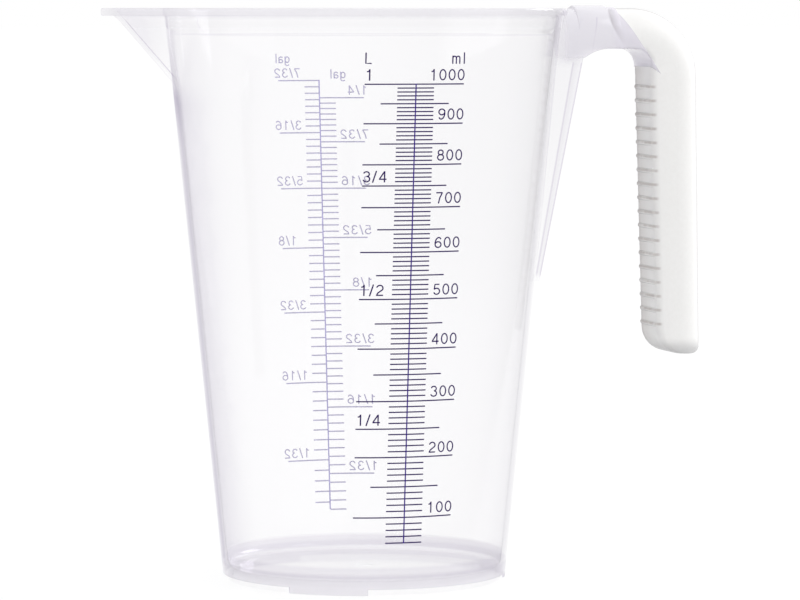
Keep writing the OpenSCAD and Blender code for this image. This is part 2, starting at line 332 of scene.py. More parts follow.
def underside_rows(t):
    """Rows from the underside's middle to the wall's foot."""
    recess_z = UNDER_Z + THIN
    rows = [(r, recess_z) for r in (*FLOOR_ROWS, RECESS_R - THIN)] + [(RECESS_R, UNDER_Z)]
    ring_in = RING_R - RING_T
    rows += corner(ring_in, UNDER_Z, LEFT, DOWN, RING_ROOT_ROUND)
    rows += corner(ring_in, 0, UP, RIGHT, RING_ROUND)
    ring = ring_outer(t)
    rows += corner(ring or FOOT_R, 0, LEFT, UP, RING_ROUND)
    if ring:
        rows += [(ring, 1.4), (ring + 0.05, 1.62), (ring + 0.2, UNDER_Z)]
        rows += [(FOOT_R - 0.1, UNDER_Z), (FOOT_R + 0.13, UNDER_Z + 0.08)]
    else:
        rows += [(outer_r(z) + EMBED, z) for z in (1.3, 1.45, 1.6, 1.75, 1.83)]
    return rows


def rim_rows(t):
    """Rows round the flange, from the wall below it to the mouth."""
    edge = flange_radius(t)
    wall = wall_out(t, FLANGE_Z) + collar(t, FLANGE_Z)
    size = min(FLANGE_ROUND, 0.3 * (edge - wall))
    rows = corner(wall, FLANGE_Z, DOWN, RIGHT, size) + corner(edge, FLANGE_Z, LEFT, UP, size)
    for a in range(6):
        c = math.radians(90 * a / 5)
        rows.append((edge - RIM_ROUND * (1 - math.cos(c)), JUG_H - RIM_ROUND * (1 - math.sin(c))))
    for a in range(5):
        c = math.radians(90 - 90 * a / 4)
        z = JUG_H - MOUTH_ROUND * (1 - math.sin(c))
        rows.append((wall_in(t, z) + MOUTH_ROUND * (1 - math.cos(c)), z))
    return rows


def profile(t):
    """Radius and height of the rows of one column, from the underside to the floor."""
    rows = underside_rows(t)
    heights = [2.1] + steps(4, LIP_START_Z, WALL_STEP) + steps(LIP_START_Z, COLLAR_START_Z, LIP_STEP)
    heights += steps(COLLAR_START_Z, FLANGE_START_Z, COLLAR_STEP)
    rows += [(wall_out(t, z) + collar(t, z), z) for z in heights]
    rows += rim_rows(t)
    heights = steps(166, LIP_START_Z, LIP_STEP) + steps(LIP_START_Z, 8, WALL_STEP) + [8]
    rows += [(wall_in(t, z), z) for z in heights]
    lean = math.hypot(1, SHARE)
    cx = inner_r(FLOOR_Z) + SHARE * CORNER_R - CORNER_R * lean
    cz = FLOOR_Z + CORNER_R
    start = -math.atan(SHARE)
    for a in range(9):
        c = start + (-math.pi / 2 - start) * a / 8
        rows.append((cx + CORNER_R * math.cos(c), cz + CORNER_R * math.sin(c)))
    rows += [(r, FLOOR_Z) for r in reversed(FLOOR_ROWS)]
    rows += [(GATE_R + 0.15, FLOOR_Z), (GATE_R, FLOOR_Z - 0.12), (GATE_R - 0.05, FLOOR_Z - 0.38)]
    rows.append((GATE_R - 0.2, FLOOR_Z - GATE_D))
    return rows


def columns():
    """Angles round the jug from the lip, in degrees: closer at the lip, the feet and the collar."""
    half = []
    for a, b, step in ((0, 4.8, 0.2), (4.8, 30, 0.3), (30, 43, 1), (44, 76, 1), (77, 146, 1),
                       (146, 153, 0.25), (153, 163, 1), (164, 180, 1)):
        half += steps(a, b, step) + [b]
    for middle in FOOT_MIDDLES:
        for end in (middle - FOOT_ANGLE / 2, middle + FOOT_ANGLE / 2):
            if end < 180:
                half += [end - 0.05, end + 0.05]
    half = sorted(set(round(a, 4) for a in half))
    return half + [360 - a for a in reversed(half) if 0 < a < 180]


def make_body():
    """The body's rings as one grid, closed by a fan at the middle of each side of its floor."""
    angles = [math.radians(a) for a in columns()]
    cols = [profile(min(a, 2 * math.pi - a)) for a in angles]
    n = len(cols[0])
    verts = []
    for a, col in zip(angles, cols):
        verts += [(-r * math.cos(a), r * math.sin(a), z) for r, z in col]
    low = len(verts)
    verts += [(0, 0, UNDER_Z + THIN), (0, 0, FLOOR_Z - GATE_D)]
    faces = []
    for i in range(len(angles)):
        j = (i + 1) % len(angles)
        faces += [(i * n + k, i * n + k + 1, j * n + k + 1, j * n + k) for k in range(n - 1)]
        faces += [(low, i * n, j * n), (low + 1, j * n + n - 1, i * n + n - 1)]
    return add_mesh("clear_body", verts, faces)


# Handle: sections along its side view, each from an inner point to a back point

def section(inner, back, margin, edge_r, squeeze=0.0):
    """One closed section: a flat inner face, rounded edges and a half-round back."""
    (x0, z0), (x1, z1) = inner, back
    d = math.hypot(x1 - x0, z1 - z0)
    ux, uz = (x1 - x0) / d, (z1 - z0) / d
    w = HANDLE_W / 2 - margin - squeeze
    depth = min(w, d - 2 * margin - edge_r)
    half = [(0, margin), (w / 2, margin)]
    for a in range(5):
        c = math.radians(90 * a / 4)
        half.append((w - edge_r + edge_r * math.sin(c), margin + edge_r * (1 - math.cos(c))))
    for a in range(13):
        c = math.radians(90 * a / 12)
        half.append((w * math.cos(c), d - margin - depth + depth * math.sin(c)))
    points = half + [(-y, s) for y, s in reversed(half[1:-1])]
    return [(x0 + ux * s, y, z0 + uz * s) for y, s in points]


def bridge_low(x):
    """Lower edge of the bridge."""
    if x < ROOT_C[0]:
        return max(ROOT_Z, ROOT_C[1] + math.sqrt(max(ROOT_R ** 2 - (x - ROOT_C[0]) ** 2, 0)))
    gap_x = face_x(BRIDGE_Z - GRIP_GAP_R) - GRIP_GAP_R
    drop = GRIP_GAP_R - math.sqrt(GRIP_GAP_R ** 2 - max(x - gap_x, 0) ** 2)
    return BRIDGE_Z - drop


def bridge_stations():
    """Upright sections from inside the wall to the arch."""
    out = [((inner_r(ROOT_Z) + SUNK, ROOT_Z), (inner_r(JUG_H) + SUNK, JUG_H))]
    xs = [58, 60, 62, 64, 65.45, 65.8, 66.3, 67, 68, 69, 70, 71, 72, 73, 75, 77, 79, 80, 81]
    for x in xs:
        out.append(((x, bridge_low(x)), (x, JUG_H)))
    return out


def arch_stations():
    """Sections that turn with the arch, from its top to the grip."""
    out = []
    cx = face_x(BRIDGE_Z - GRIP_GAP_R) - GRIP_GAP_R - ARCH_X
    cz = BRIDGE_Z - GRIP_GAP_R - ARCH_Z
    end = math.atan(BACK_LEAN)
    for i in range(25):
        a = math.pi / 2 + (end - math.pi / 2) * i / 24
        c, s = math.cos(a), math.sin(a)
        b = cx * c + cz * s
        t = b + math.sqrt(b * b - cx * cx - cz * cz + GRIP_GAP_R ** 2)
        if t * s < cz:
            t = (face_x(ARCH_Z) - ARCH_X) / (c + FACE_LEAN * s)
        out.append(((ARCH_X + t * c, ARCH_Z + t * s), (ARCH_X + ARCH_R * c, ARCH_Z + ARCH_R * s)))
    return out


def leg_stations():
    """Level sections down the grip, with the free end's rounds; each with its squeeze."""
    out = []
    heights = steps(145, END_Z + END_INNER_R, 4)
    for i in range(13):
        heights.append(END_Z + END_INNER_R * (1 - math.sin(math.pi / 2 * i / 12)))
    for z in heights:
        inner = face_x(z)
        over = END_Z + END_INNER_R - z
        if over > 0:
            inner += END_INNER_R - math.sqrt(max(END_INNER_R ** 2 - over ** 2, 0))
        back = HANDLE_X + BACK_LEAN * (ARCH_Z - z)
        over = max(END_Z + END_OUTER_R - z, 0)
        back -= END_OUTER_R - math.sqrt(max(END_OUTER_R ** 2 - over ** 2, 0))
        over = min(max(END_Z + END_SIDE_R - z, 0), END_SIDE_R)
        squeeze = END_SIDE_R - math.sqrt(END_SIDE_R ** 2 - over ** 2)
        out.append(((inner, z), (back, z), squeeze))
    return out


def joint_prism(name, shift):
    """The part of the side view that is the white grip, moved towards it."""
    x, z = JOINT[0] + shift, JOINT[1]
    along = JOINT[0] - face_x(BRIDGE_Z - GRIP_GAP_R) + GRIP_GAP_R
    outline = [(x, z), (x - CUT_H * JOINT_UP, z + CUT_H), (CUT_FAR_X, z + CUT_H),
               (CUT_FAR_X, CUT_LOW_Z), (x - along, CUT_LOW_Z),
               (x - along, z + along * JOINT_LOW - shift * CUT_SHARE)]
    return side_prism(name, outline, CUT_HALF_W)


def make_bridge():
    """The clear bridge up to the grip, with its two pads."""
    stations = bridge_stations() + arch_stations()
    bridge = loft("clear_bridge", [section(a, b, CLEAR_INSET, CLEAR_EDGE_R) for a, b in stations])
    apply_boolean(bridge, joint_prism("cutter", CLEAR_INSET), "DIFFERENCE")
    for x0, x1, rise in PADS:
        rings = []
        for x, r in ((x0, rise - PAD_STEP), (x0 + PAD_EDGE, rise), (x1 - PAD_EDGE, rise),
                     (x1, rise - PAD_STEP)):
            rings.append(section((x, PAD_Z + rise), (x, JUG_H + r + PAD_RISE), PAD_INSET, PAD_EDGE))
        apply_boolean(bridge, loft("pad", rings), "UNION")
    return bridge


def make_gusset():
    """The web under the bridge, which narrows downwards to the wall."""
    rings = []
    low = ROOT_Z - GUSSET_H
    for z in steps(low, GUSSET_TOP_Z, 6) + [GUSSET_TOP_Z]:
        w = GUSSET_HALF_W + GUSSET_SPREAD * (z - low)
        x0 = inner_r(z) + SUNK
        x1 = GUSSET_X - GUSSET_LEAN * (ROOT_Z - z)
        r = min(GUSSET_EDGE_R, w * GUSSET_EDGE_R / 2)
        side = [(x0, w)]
        for a in range(5):
            c = math.radians(90 - 90 * a / 4)
            side.append((x1 - r + r * math.cos(c), w - r + r * math.sin(c)))
        outline = [(x, -y) for x, y in side] + list(reversed(side))
        rings.append([(x, y, z) for x, y in outline])
    return loft("gusset", rings)


def make_rib(z):
    """A bar with round ends across the grip's inner face."""
    end = HANDLE_W / 2 - RIB_INSET - RIB_R
    turns = [RIB_TURN * i / 5 for i in range(6)]
    half = [(end + RIB_R * math.sin(a), RIB_R * math.cos(a)) for a in turns]
    bar = [(-y, r) for y, r in reversed(half)] + half
    cx = face_x(z) + RIB_R - RIB_PROUD
    around = [2 * math.pi * k / 16 for k in range(16)]
    return loft("rib", [[(cx + r * math.cos(a), y, z - r * math.sin(a)) for a in around]
                        for y, r in bar])


def make_grip():
    """The white grip over the arch and the leg, with its ribs."""
    top = [section(a, b, 0, GRIP_EDGE_R) for a, b in bridge_stations()[-8:] + arch_stations()]
    leg = [section(a, b, 0, GRIP_EDGE_R, s) for a, b, s in leg_stations()]
    grip = loft("white_grip", top + leg)
    apply_boolean(grip, joint_prism("keeper", 0), "INTERSECT")
    for i in range(RIB_COUNT):
        apply_boolean(grip, make_rib(RIB_TOP_Z - RIB_PITCH * i), "UNION")
    return grip


# Printed figures, on the outside of the wall

def level(v):
    """Height of a volume in millilitres."""
    floor_r = inner_r(FLOOR_Z)
    return FLOOR_Z + ((floor_r ** 3 + 3 * SHARE * v * 1000 / math.pi) ** (1 / 3) - floor_r) / SHARE


def arc(cx, cy, rx, ry, a0, a1):
    """Points along part of an ellipse, by angles in degrees."""
    n = max(2, round(abs(a1 - a0) / 12))
    turns = [math.radians(a0 + (a1 - a0) * i / n) for i in range(n + 1)]
    return [(cx + rx * math.cos(a), cy + ry * math.sin(a)) for a in turns]


def ring(cx, cy, rx, ry):
    """Points round an ellipse."""
    return arc(cx, cy, rx, ry, 0, 360)


# Each character's advance and its strokes' middle lines, for a height of 1
SIX = [ring(0.34, 0.31, 0.28, 0.25),
       arc(0.43, 0.42, 0.37, 0.52, 190, 95) + arc(0.38, 0.72, 0.22, 0.22, 75, 15)]
GLYPHS = {
    "0": (0.88, [ring(0.34, 0.5, 0.28, 0.44)]),
    "1": (0.88, [[(0.38, 0), (0.38, 1)], [(0.14, 0.78), (0.27, 0.8), (0.34, 0.87), (0.37, 0.98)]]),
    "2": (0.88, [arc(0.34, 0.69, 0.27, 0.25, 170, -38) + [(0.15, 0.24), (0.07, 0.06)],
                 [(0.02, 0.057), (0.63, 0.057)]]),
    "3": (0.88, [arc(0.33, 0.73, 0.24, 0.21, 165, -85), arc(0.33, 0.3, 0.28, 0.243, 85, -165)]),
    "4": (0.88, [[(0.49, 0), (0.49, 0.99)], [(0.47, 0.95), (0.05, 0.3)], [(0.01, 0.28), (0.66, 0.28)]]),
    "5": (0.88, [[(0.58, 0.943), (0.16, 0.943), (0.1, 0.5)],
                 arc(0.33, 0.33, 0.28, 0.27, 145, -160)]),
    "6": (0.88, SIX),
    "7": (0.88, [[(0.03, 0.943), (0.64, 0.943)], [(0.61, 0.93), (0.38, 0.5), (0.26, 0)]]),
    "8": (0.88, [ring(0.34, 0.73, 0.23, 0.21), ring(0.34, 0.3, 0.28, 0.243)]),
    "9": (0.88, [[(0.68 - x, 1 - y) for x, y in stroke] for stroke in SIX]),
    "/": (0.52, [[(-0.02, -0.02), (0.3, 1.02)]]),
    "L": (0.7, [[(0.06, 1), (0.06, 0.057), (0.54, 0.057)]]),
    "m": (1.12, [[(0.06, 0), (0.06, 0.72)], arc(0.23, 0.5, 0.17, 0.165, 180, 0) + [(0.4, 0)],
                 arc(0.57, 0.5, 0.17, 0.165, 180, 0) + [(0.74, 0)]]),
    "l": (0.3, [[(0.06, 0), (0.06, 1)]]),
    "g": (0.75, [ring(0.28, 0.37, 0.22, 0.3), [(0.52, 0.72), (0.52, -0.05)],
                 arc(0.29, -0.05, 0.23, 0.2, 0, -150)]),
    "a": (0.75, [arc(0.28, 0.5, 0.2, 0.17, 160, 0) + [(0.48, 0)], ring(0.27, 0.22, 0.21, 0.17)]),
}

# Shares of the figures' height: a stroke's width and the gap after a character
STROKE = 0.115
CHARACTER_GAP = 0.2

# The figures' heights, and how far their ink reaches out of the wall and into it
FRONT_H = 3.2
BACK_H = 2.85
INK_OUT = 0.05
INK_IN = 0.04

# Where the figures stand: beside the ends of their lines, and a gap above them
FRONT_RIGHT_X = 14.6
FRONT_LEFT_X = -14.3
FRONT_GAP = 1.0
FRONT_HEADING_Z = 151.35
BACK_RIGHT_X = -13.4
BACK_LEFT_X = 15.6
BACK_GAP = 0.9
LARGER_HEADING = (-12.8, 150.4)
SMALLER_HEADING = (9.2, 145.7)
BACK_UPRIGHT_X = 0.97

# Gallons in millilitres, and the figures at so many parts of one; the larger ends at 56
LARGER_GALLON = 4546.09
SMALLER_GALLON = 3785.41
PARTS = 256
LARGER_END = 56
GALLON_PARTS = {8: "1/32", 16: "1/16", 24: "3/32", 32: "1/8", 40: "5/32", 48: "3/16", 56: "7/32",
                64: "1/4"}


def ribbon(verts, faces, path, place):
    """A flat band of ink along a path; place turns a point and a depth into one on the wall."""
    n = len(path)
    closed = n > 3 and math.dist(path[0], path[-1]) < 1e-6
    base = len(verts)
    for i, (x, y) in enumerate(path):
        before = path[i - 1] if i else (path[-2] if closed else path[0])
        after = path[i + 1] if i + 1 < n else (path[1] if closed else path[-1])
        d = math.dist(before, after)
        nx, ny = (before[1] - after[1]) / d * STROKE / 2, (after[0] - before[0]) / d * STROKE / 2
        for s, depth in ((-1, INK_OUT), (1, INK_OUT), (1, -INK_IN), (-1, -INK_IN)):
            verts.append(place(x + s * nx, y + s * ny, depth))
    for i in range(n - 1):
        a, b = base + 4 * i, base + 4 * i + 4
        faces += [(a + k, a + (k + 1) % 4, b + (k + 1) % 4, b + k) for k in range(4)]
    faces += [(base + 3, base + 2, base + 1, base), tuple(base + 4 * n - 4 + k for k in range(4))]


def write(verts, faces, words, x, z, side, align="LEFT"):
    """Adds words that start or end at x with their foot at z; side is -1 in front, 1 behind."""
    size = FRONT_H if side < 0 else BACK_H
    width = sum(GLYPHS[c][0] for c in words) - CHARACTER_GAP
    start = -width if align == "RIGHT" else 0.0
    for c in words:
        advance, strokes = GLYPHS[c]

        def place(u, v, depth, start=start):
            px, pz = x - side * (start + u) * size, z + v * size
            r = outer_r(pz) + EMBED + depth
            return (px, side * math.sqrt(r * r - px * px), pz)

        for stroke in strokes:
            ribbon(verts, faces, stroke, place)
        start += advance


def make_front_figures():
    """The litre's figures, on the near side."""
    verts, faces = [], []
    for v in range(100, 1001, 100):
        write(verts, faces, str(v), FRONT_RIGHT_X, level(v) + FRONT_GAP, -1, "RIGHT")
    for v, words in ((250, "1/4"), (500, "1/2"), (750, "3/4"), (1000, "1")):
        write(verts, faces, words, FRONT_LEFT_X, level(v) + FRONT_GAP, -1)
    write(verts, faces, "L", FRONT_LEFT_X - 0.1, FRONT_HEADING_Z, -1)
    write(verts, faces, "ml", FRONT_RIGHT_X - 0.1, FRONT_HEADING_Z, -1, "RIGHT")
    return finish_figures("front_figures", verts, faces)


def make_back_figures():
    """The gallons' figures, on the far side."""
    verts, faces = [], []
    for k, words in GALLON_PARTS.items():
        if k <= LARGER_END:
            z = level(k * LARGER_GALLON / PARTS) + BACK_GAP
            write(verts, faces, words, BACK_RIGHT_X, z, 1, "RIGHT")
        write(verts, faces, words, BACK_LEFT_X, level(k * SMALLER_GALLON / PARTS) + BACK_GAP, 1)
    write(verts, faces, "gal", *LARGER_HEADING, 1, "RIGHT")
    write(verts, faces, "gal", *SMALLER_HEADING, 1)
    return finish_figures("back_figures", verts, faces)


def finish_figures(name, verts, faces):
    """One mesh of all the ribbons, each closed."""
    obj = add_mesh(name, verts, faces)
    solid = bmesh.new()
    solid.from_mesh(obj.data)
    bmesh.ops.remove_doubles(solid, verts=solid.verts, dist=0.000001)
    bmesh.ops.recalc_face_normals(solid, faces=solid.faces)
    solid.to_mesh(obj.data)
    solid.free()
    return obj


# Materials

CLEAR = (0.999, 0.998, 1.0, 1)
CLOUDY = (0.86, 0.84, 0.90, 1)
# Colour of the painted shade on the clear body's edges, side lines and thick parts
CLEAR_SHADE = (0.60, 0.56, 0.67, 1)
PASSED_LIGHT = (0.55, 0.525, 0.59, 1)
ABSORPTION = 26.0
GRIP_DARK = (0.86, 0.853, 0.842, 1)
GRIP_PALE = (0.905, 0.90, 0.892, 1)
# Colour of the painted grey-brown shadow along the grip's ribs and on the far side of its inner face
GRIP_PAINTED_SHADE = (0.40, 0.335, 0.31, 1)
# Colour of the painted shade at the grip's outlines and towards its free end
GRIP_SHADE = (0.66, 0.66, 0.67, 1)
FRONT_INK = (0.019, 0.003, 0.088)
FRONT_UPRIGHT = (0.05, 0.022, 0.23)
BACK_INK = (0.34, 0.32, 0.47)
BACK_UPRIGHT = (0.36, 0.33, 0.61)
INK_SPREAD = 1.35
FLOOR_GREY = (0.16, 0.16, 0.16, 1)
WHITE = (1, 1, 1, 1)


class Nodes:
    """Adds nodes to one node tree. A value is a number, a colour or another node's output."""

    def __init__(self, tree):
        self.nodes, self.links = tree.nodes, tree.links

    def put(self, socket, value):
        if isinstance(value, bpy.types.NodeSocket):
            self.links.new(value, socket)
        else:
            socket.default_value = value

    def math(self, operation, a, b=0.0, clamp=False):
        node = self.nodes.new("ShaderNodeMath")
        node.operation = operation
        node.use_clamp = clamp
        self.put(node.inputs[0], a)
        self.put(node.inputs[1], b)
        return node.outputs[0]

    def plus(self, a, b, clamp=False):
        return self.math("ADD", a, b, clamp)

    def minus(self, a, b, clamp=False):
        return self.math("SUBTRACT", a, b, clamp)

    def larger(self, a, b):
        return self.math("MAXIMUM", a, b)

    def size(self, a):
        """A value without its sign."""
        return self.math("ABSOLUTE", a)

    def times(self, first, *others, clamp=False):
        for other in others:
            first = self.math("MULTIPLY", first, other, clamp)
        return first

    def ramp(self, value, low, high, out_low=0.0, out_high=1.0):
        """A smooth step: out_low where the value is low, out_high where it is high."""
        node = self.nodes.new("ShaderNodeMapRange")
        node.interpolation_type = "SMOOTHSTEP"
        for name, number in (("From Min", low), ("From Max", high), ("To Min", out_low),
                             ("To Max", out_high), ("Value", value)):
            self.put(node.inputs[name], number)
        return node.outputs["Result"]

    def mix(self, factor, a, b, kind="RGBA", blend="MIX"):
        node = self.nodes.new("ShaderNodeMix")
        node.data_type = kind
        node.blend_type = blend
        for name, value in (("Factor", factor), ("A", a), ("B", b)):
            self.put(node.inputs[name], value)
        return node.outputs["Result"]

    def vector(self, operation, output, *values):
        node = self.nodes.new("ShaderNodeVectorMath")
        node.operation = operation
        for socket, value in zip(node.inputs, values):
            self.put(socket, value)
        return node.outputs[output]

    def coords(self, kind):
        return self.nodes.new("ShaderNodeTexCoord").outputs[kind]

    def facing(self):
        """0 where a surface faces the eye, 1 where it is seen edge on."""
        node = self.nodes.new("ShaderNodeLayerWeight")
        node.inputs["Blend"].default_value = 0.5
        return node.outputs["Facing"]

    def place(self):
        """X, Y and Z on the object, in millimetres."""
        per_metre = (1 / MM, 1 / MM, 1 / MM)
        node = self.nodes.new("ShaderNodeSeparateXYZ")
        self.put(node.inputs[0], self.vector("MULTIPLY", "Vector", self.coords("Object"), per_metre))
        return [node.outputs[name] for name in "XYZ"]

    def distance(self, x, y):
        """Distance from the jug's axis."""
        node = self.nodes.new("ShaderNodeCombineXYZ")
        self.put(node.inputs["X"], x)
        self.put(node.inputs["Y"], y)
        return self.vector("LENGTH", "Value", node.outputs["Vector"])

    def noise(self, scale, detail=2.0):
        node = self.nodes.new("ShaderNodeTexNoise")
        for name, value in (("Scale", scale), ("Detail", detail), ("Vector", self.coords("Object"))):
            self.put(node.inputs[name], value)
        return node.outputs["Fac"]

    def two_tone(self, value, dark, pale):
        """A colour between two, by a value from 0 to 1."""
        node = self.nodes.new("ShaderNodeValToRGB")
        for stop, colour in zip(node.color_ramp.elements, (dark, pale)):
            stop.color = colour
        self.put(node.inputs["Fac"], value)
        return node.outputs["Color"]


def new_material(name):
    """A material, its nodes and the inputs of its surface shader."""
    mat = bpy.data.materials.new(name)
    mat.use_nodes = True
    return mat, Nodes(mat.node_tree), mat.node_tree.nodes["Principled BSDF"].inputs


def add_bumps(n, skin, scale, strength, distance):
    """Fine bumps on a skin; returns their noise."""
    noise = n.noise(scale, 3.0)
    bump = n.nodes.new("ShaderNodeBump")
    for name, value in (("Strength", strength), ("Distance", distance), ("Height", noise)):
        n.put(bump.inputs[name], value)
    n.put(skin["Normal"], bump.outputs["Normal"])
    return noise


def vary_roughness(n, skin, noise, smooth, rough):
    n.put(skin["Roughness"], n.ramp(noise, 0.3, 0.7, smooth, rough))


# Painted shade along the gusset's and the keel's edges in the clear body's sides, straight in the side
# view: lean, X at the height
# 0, half width, lowest and highest Z, reach in Y, painted shade on the line and painted shade beyond it
GUSSET_FOOT_X = GUSSET_X - GUSSET_LEAN * ROOT_Z
KEEL_FOOT_X = KEEL_Z * KEEL_TAN - KEEL_X
PAINTED_LINE_SHADES = (
    (-GUSSET_LEAN, GUSSET_FOOT_X - 0.45, 0.35, 87, 151.5, 6, 0.8, 0.32),
    (-GUSSET_LEAN, GUSSET_FOOT_X + 0.66, 0.4, 150, 165, 9.5, 0.5, 0.0),
    (KEEL_TAN, KEEL_FOOT_X + 2.66, 0.3, 146, 164, 0.6, 0.8, 0.0),
)


def line_shade(n, x, y, z, line):
    """The shade of one of the PAINTED_LINE_SHADES."""
    lean, foot_x, half, low, high, reach, shade_on, shade_beyond = line
    off = n.minus(n.plus(n.times(z, lean), x), foot_x)
    on = n.ramp(n.size(off), half, half * 0.4, 0.0, shade_on)
    beyond = n.ramp(off, 0.0, half, 0.0, shade_beyond)
    return n.times(n.larger(on, beyond), n.ramp(z, low, low + 2), n.ramp(z, high, high - 1),
                   n.ramp(n.size(y), reach, reach * 0.8))


def collar_shade(n, x, z, spread):
    """The shade of the collar's lower edge, between its two ends."""
    off = n.size(n.minus(z, COLLAR_Z - 0.25))
    return n.times(n.ramp(off, 0.25, 0.1, 0.0, 0.35), n.ramp(spread, 56.5, 56.8),
                   n.ramp(x, COLLAR_LIP_X + 0.5, COLLAR_LIP_X + 3),
                   n.ramp(x, COLLAR_HANDLE_X - 0.5, COLLAR_HANDLE_X - 3))


def outline_shade(n, x, z, outer):
    """The shade where the wall is seen edge on: strong at the lip's side, paler behind the lip."""
    facing = n.facing()
    shade_edge = n.times(outer, n.ramp(facing, 0.69, 0.84))
    shade_edge = n.plus(shade_edge, n.ramp(facing, 0.3, 0.85, 0.0, 0.23))
    pale = n.times(n.ramp(x, -30, -40, 0.0, 0.6), n.ramp(z, 138, 146))
    side = n.minus(n.ramp(x, -50, 45, 1.0, 0.05), pale, True)
    return n.times(n.times(shade_edge, side, clamp=True), n.ramp(z, 4.2, 5.2))


def thick_parts(n, x, z, spread, outer):
    """How cloudy each thick part is, and its shade as a share of that."""
    tongue = n.ramp(x, 70, 78, 0.0, 0.8)
    bridge = n.times(n.ramp(x, 56.5, 61, 0.0, 0.36), n.ramp(z, 149, 153.5))
    lip = n.ramp(x, -59, -66, 0.0, 0.05)
    rim = n.ramp(z, 163.5, 165, 0.0, 0.1)
    height = n.plus(z, n.times(outer, 2.0))
    radius = n.minus(spread, n.ramp(z, 1.9, 1.7))
    base = n.times(n.ramp(height, 8.6, 7.2, 0.0, 0.15), n.ramp(radius, 39.4, 39.9))
    return (tongue, 0.25), (bridge, 0.5), (lip, 2.0), (rim, 0.8), (base, 3.2)


def clear_plastic():
    """Clear plastic: painted violet-grey shade at its edges, along its side lines and on its thick
    parts; cloudier where it is thick, faintly scuffed.
    """
    mat, n, skin = new_material("clear_plastic_look")
    noise = add_bumps(n, skin, 160, 0.008, 0.0004)
    vary_roughness(n, skin, noise, 0.04, 0.07)
    n.put(skin["IOR"], 1.0)
    n.put(skin["Coat Roughness"], 0.06)
    n.put(skin["Coat IOR"], 1.45)
    x, y, z = n.place()
    front = n.minus(1.0, n.nodes.new("ShaderNodeNewGeometry").outputs["Backfacing"])
    dull = n.times(n.ramp(x, -28, -36, 0.0, 0.75), n.ramp(z, 125, 145))
    n.put(skin["Coat Weight"], n.times(front, n.minus(1.0, dull)))
    spread = n.distance(x, y)
    outer = n.ramp(n.minus(spread, n.times(z, SHARE)), 40.4, 41)
    # Painted shade: where the wall is seen edge on (darker on the left), at the collar's lower edge,
    # along the side lines and on the thick parts
    shade_share = n.larger(outline_shade(n, x, z, outer), collar_shade(n, x, z, spread))
    for line in PAINTED_LINE_SHADES:
        shade_share = n.larger(shade_share, line_shade(n, x, y, z, line))
    haze = 0.0
    for part, share in thick_parts(n, x, z, spread, outer):
        haze = n.larger(haze, part)
        shade_share = n.larger(shade_share, n.times(part, share))
    haze = n.plus(n.times(haze, front), 0.01, True)
    n.put(skin["Transmission Weight"], n.minus(1.0, haze))
    cloud = n.mix(n.times(haze, 1.8, clamp=True), CLEAR, CLOUDY)
    n.put(skin["Base Color"], n.mix(shade_share, cloud, CLEAR_SHADE, blend="MULTIPLY"))
    volume = n.nodes.new("ShaderNodeVolumeAbsorption")
    n.put(volume.inputs["Color"], PASSED_LIGHT)
    n.put(volume.inputs["Density"], ABSORPTION)
    n.put(n.nodes["Material Output"].inputs["Volume"], volume.outputs["Volume"])
    return mat


def white_plastic():
    """Warm white with faint mottling, painted grey-brown shadow along the ribs and painted shade on the
    inner face's far side, at the outlines and towards the free end.
    """
    mat, n, skin = new_material("white_grip_look")
    noise = add_bumps(n, skin, 900, 0.08, 0.0003)
    white = n.two_tone(noise, GRIP_DARK, GRIP_PALE)
    x, y, z = n.place()
    patchy_noise = n.noise(260)
    vary_roughness(n, skin, patchy_noise, 0.36, 0.48)
    # Painted shadow along each rib, patchy by noise
    turn = n.math("DIVIDE", n.minus(z, RIB_TOP_Z + 0.1), RIB_PITCH)
    from_rib = n.size(n.minus(n.math("FRACT", n.plus(turn, 0.5)), 0.5))
    ribs = n.times(n.ramp(z, 70.5, 71.5), n.ramp(z, 145.5, 144.5))
    rib_shadows = n.times(n.ramp(from_rib, 0.15, 0.04), ribs, 0.55, n.ramp(patchy_noise, 0.3, 0.6, 0.55, 1.0))
    # Painted shade on the grip's inner face, darker towards its far side
    far_side_shade = n.ramp(y, -4, 9, 0.0, 0.32)
    depth = n.minus(n.plus(n.times(z, FACE_LEAN), x), face_x(0))
    painted_shade = n.times(n.larger(rib_shadows, far_side_shade), n.ramp(depth, 1.6, 0.6))
    colour = n.mix(painted_shade, white, GRIP_PAINTED_SHADE)
    # Painted shade where the grip is seen edge on, and darker towards its free end
    outline = n.larger(n.ramp(n.facing(), 0.68, 0.88), n.ramp(z, 69.5, 65.5, 0.0, 0.9))
    n.put(skin["Base Color"], n.mix(outline, colour, GRIP_SHADE, blend="MULTIPLY"))
    return mat


def ink(name, colour, upright_colour, upright_x):
    """Slightly uneven ink, more vivid on the upright line."""
    mat, n, skin = new_material(name)
    noise = add_bumps(n, skin, 2500, 0.05, 0.00005)
    vary_roughness(n, skin, noise, 0.42, 0.58)
    n.put(skin["Specular IOR Level"], 0.15)
    film = n.two_tone(noise, (*colour, 1), (*[c * INK_SPREAD for c in colour], 1))
    off = n.size(n.minus(n.place()[0], upright_x))
    n.put(skin["Base Color"], n.mix(n.ramp(off, 0.3, 0.2), film, (*upright_colour, 1)))
    return mat


# Studio and camera

def seen_rays(n):
    """1 for the rays that look at the backdrop: the camera's, and those through or off the jug."""
    rays = n.nodes.new("ShaderNodeLightPath").outputs
    return n.larger(n.larger(rays["Is Camera Ray"], rays["Is Transmission Ray"]), rays["Is Glossy Ray"])


def make_floor():
    """A pale floor that shows white, with the jug's soft shadow."""
    half, z = 60000.0, -0.02
    floor = add_mesh("floor", [(-half, -half, z), (half, -half, z), (half, half, z), (-half, half, z)],
                     [(0, 1, 2, 3)])
    mat, n, skin = new_material("floor_look")
    n.put(skin["Base Color"], FLOOR_GREY)
    n.put(skin["Roughness"], 1.0)
    n.put(skin["Specular IOR Level"], 0.0)
    n.put(skin["Emission Color"], WHITE)
    n.put(skin["Emission Strength"], n.plus(n.times(seen_rays(n), 0.285), 0.56))
    floor.data.materials.append(mat)


